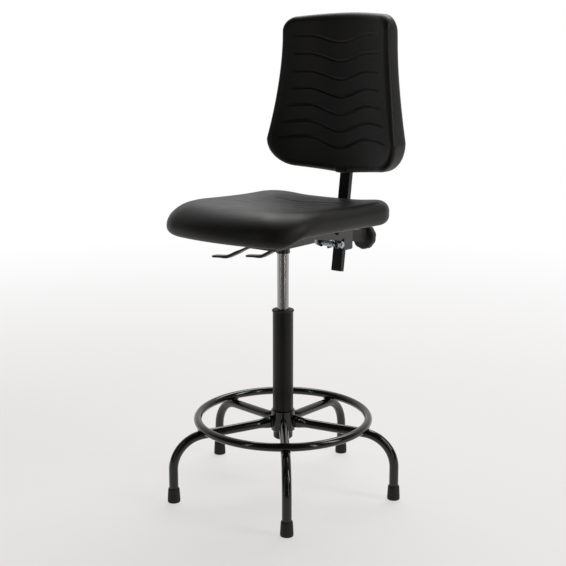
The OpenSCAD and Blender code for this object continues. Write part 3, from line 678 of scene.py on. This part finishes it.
floorMesh = bmesh.new()
bmesh.ops.create_circle(floorMesh, cap_ends=True, radius=14, segments=96)
floorData = bpy.data.meshes.new("floor")
floorMesh.to_mesh(floorData)
floorMesh.free()
floor = bpy.data.objects.new("floor", floorData)
bpy.context.scene.collection.objects.link(floor)
# Vinyl roll, matt, pale grey; painted shade makes it greyer by the chair and paler away from it
vinyl = bpy.data.materials.new("vinylMatt")
vinyl.use_nodes = True
floorTree = vinyl.node_tree
floorShader = floorTree.nodes["Principled BSDF"]
place = addNode(floorTree, "ShaderNodeTexCoord")
away = addNode(floorTree, "ShaderNodeVectorMath", {"operation": "LENGTH"}, links={0: (place, "Object")})
fade = addNode(floorTree, "ShaderNodeMapRange", {"interpolation_type": "SMOOTHSTEP"},
               {"From Min": 0.5, "From Max": 3.2}, {"Value": (away, "Value")})
# painted shade: the floor colour runs from a darker grey at the chair to a paler grey farther out
pale = addNode(floorTree, "ShaderNodeMix", {"data_type": "RGBA"}, links={0: (fade, 0)})
pale.inputs[6].default_value = linearColour("#efedeb")
pale.inputs[7].default_value = linearColour("#f6f5f5")
floorTree.links.new(pale.outputs[2], floorShader.inputs["Base Color"])
floorShader.inputs["Roughness"].default_value = 0.8
floorShader.inputs["Specular IOR Level"].default_value = 0.1
ownLight = addNode(floorTree, "ShaderNodeEmission", values={"Strength": 1.0}, links={"Color": (pale, 2)})
lifted = addNode(floorTree, "ShaderNodeMixShader", values={0: 0.68},
                 links={1: (floorShader, 0), 2: (ownLight, 0)})  # keeps shadows pale
paper = addNode(floorTree, "ShaderNodeEmission", values={"Strength": 1.0})
edgeFade = addNode(floorTree, "ShaderNodeMapRange", {"interpolation_type": "SMOOTHSTEP"},
                   {"From Min": 0.8, "From Max": 3.8}, {"Value": (away, "Value")})
sweep = addNode(floorTree, "ShaderNodeMixShader", links={0: (edgeFade, 0), 1: (lifted, 0), 2: (paper, 0)})
# reflections see a darker floor on the side of the dim room, which gives polished metal dark bands
towardsRoom = addNode(floorTree, "ShaderNodeVectorMath", {"operation": "DOT_PRODUCT"}, {1: (0.6, -0.78, 0)},
                      {0: (place, "Object")})
roomShade = addNode(floorTree, "ShaderNodeMapRange", {"interpolation_type": "SMOOTHSTEP"},
                    {"From Min": 0.0, "From Max": 1.8, "To Max": 0.85}, {"Value": (towardsRoom, "Value")})
path = addNode(floorTree, "ShaderNodeLightPath")
shadeShare = addNode(floorTree, "ShaderNodeMath", {"operation": "MULTIPLY"},
                     links={0: (roomShade, 0), 1: (path, "Is Glossy Ray")})
darkFloor = addNode(floorTree, "ShaderNodeBsdfDiffuse", values={"Color": (0.02, 0.02, 0.02, 1)})
seen = addNode(floorTree, "ShaderNodeMixShader", links={0: (shadeShare, 0), 1: (sweep, 0), 2: (darkFloor, 0)})
floorTree.links.new(seen.outputs[0], floorTree.nodes["Material Output"].inputs["Surface"])
floorData.materials.append(vinyl)

# Surround: plain white to the camera; it lights the chair as a pale wall behind and a dim room in front
world = bpy.data.worlds.new("studio")
world.use_nodes = True
surround = world.node_tree
dim = surround.nodes["Background"]
dim.inputs[0].default_value = (1.0, 1.0, 1.0, 1)
sky = addNode(surround, "ShaderNodeTexCoord")
facing = addNode(surround, "ShaderNodeVectorMath", {"operation": "DOT_PRODUCT"}, {1: (-0.6, 0.78, 0.15)},
                 {0: (sky, "Generated")})
glow = addNode(surround, "ShaderNodeMapRange", {"interpolation_type": "SMOOTHSTEP"},
               {"From Min": -0.1, "From Max": 0.9, "To Min": 0.07, "To Max": 0.75},
               {"Value": (facing, "Value")})
surround.links.new(glow.outputs[0], dim.inputs[1])
direct = addNode(surround, "ShaderNodeLightPath")
white = addNode(surround, "ShaderNodeBackground", values={"Color": (1.0, 1.0, 1.0, 1), "Strength": 1.0})
both = addNode(surround, "ShaderNodeMixShader",
               links={0: (direct, "Is Camera Ray"), 1: (dim, 0), 2: (white, 0)})
surround.links.new(both.outputs[0], surround.nodes["World Output"].inputs["Surface"])
bpy.context.scene.world = world
bpy.context.scene.view_settings.view_transform = "Standard"

boxes = {"top": {"at": (-0.7, 1.7, 3.2), "size": (2.4, 2.0), "power": 74},
         "side": {"at": (2.9, 0.9, 2.3), "size": (0.7, 2.2), "power": 34},
         "stripRight": {"at": (1.94, -0.48, 1.0), "size": (0.13, 1.94), "power": 4.5},
         "stripLeft": {"at": (-0.17, -1.99, 1.0), "size": (0.1, 1.94), "power": 2.5}}
for name, box in boxes.items():
    data = bpy.data.lights.new(name, "AREA")
    data.shape = "RECTANGLE"
    data.size, data.size_y = box["size"]
    data.energy = box["power"]
    lamp = bpy.data.objects.new(name, data)
    lamp.location = box["at"]
    lamp.visible_diffuse = "strip" not in name  # the strips only show as reflections
    aim = Vector((0, 0, 0.6 if box["at"][2] > 1 else box["at"][2]))  # the strips stand upright
    lamp.rotation_euler = (aim - Vector(box["at"])).to_track_quat("-Z", "Y").to_euler()
    bpy.context.scene.collection.objects.link(lamp)

view = {"lens": 67.2, "shift": -0.058, "at": (1.5257, -1.9528, 1.051), "tilt": 79.587, "turn": 38}
camera = bpy.data.objects.new("camera", bpy.data.cameras.new("camera"))
camera.data.lens = view["lens"]
camera.data.shift_y = view["shift"]
camera.location = view["at"]
camera.rotation_euler = (math.radians(view["tilt"]), 0, math.radians(view["turn"]))
bpy.context.scene.collection.objects.link(camera)
bpy.context.scene.camera = camera
print("studio set")
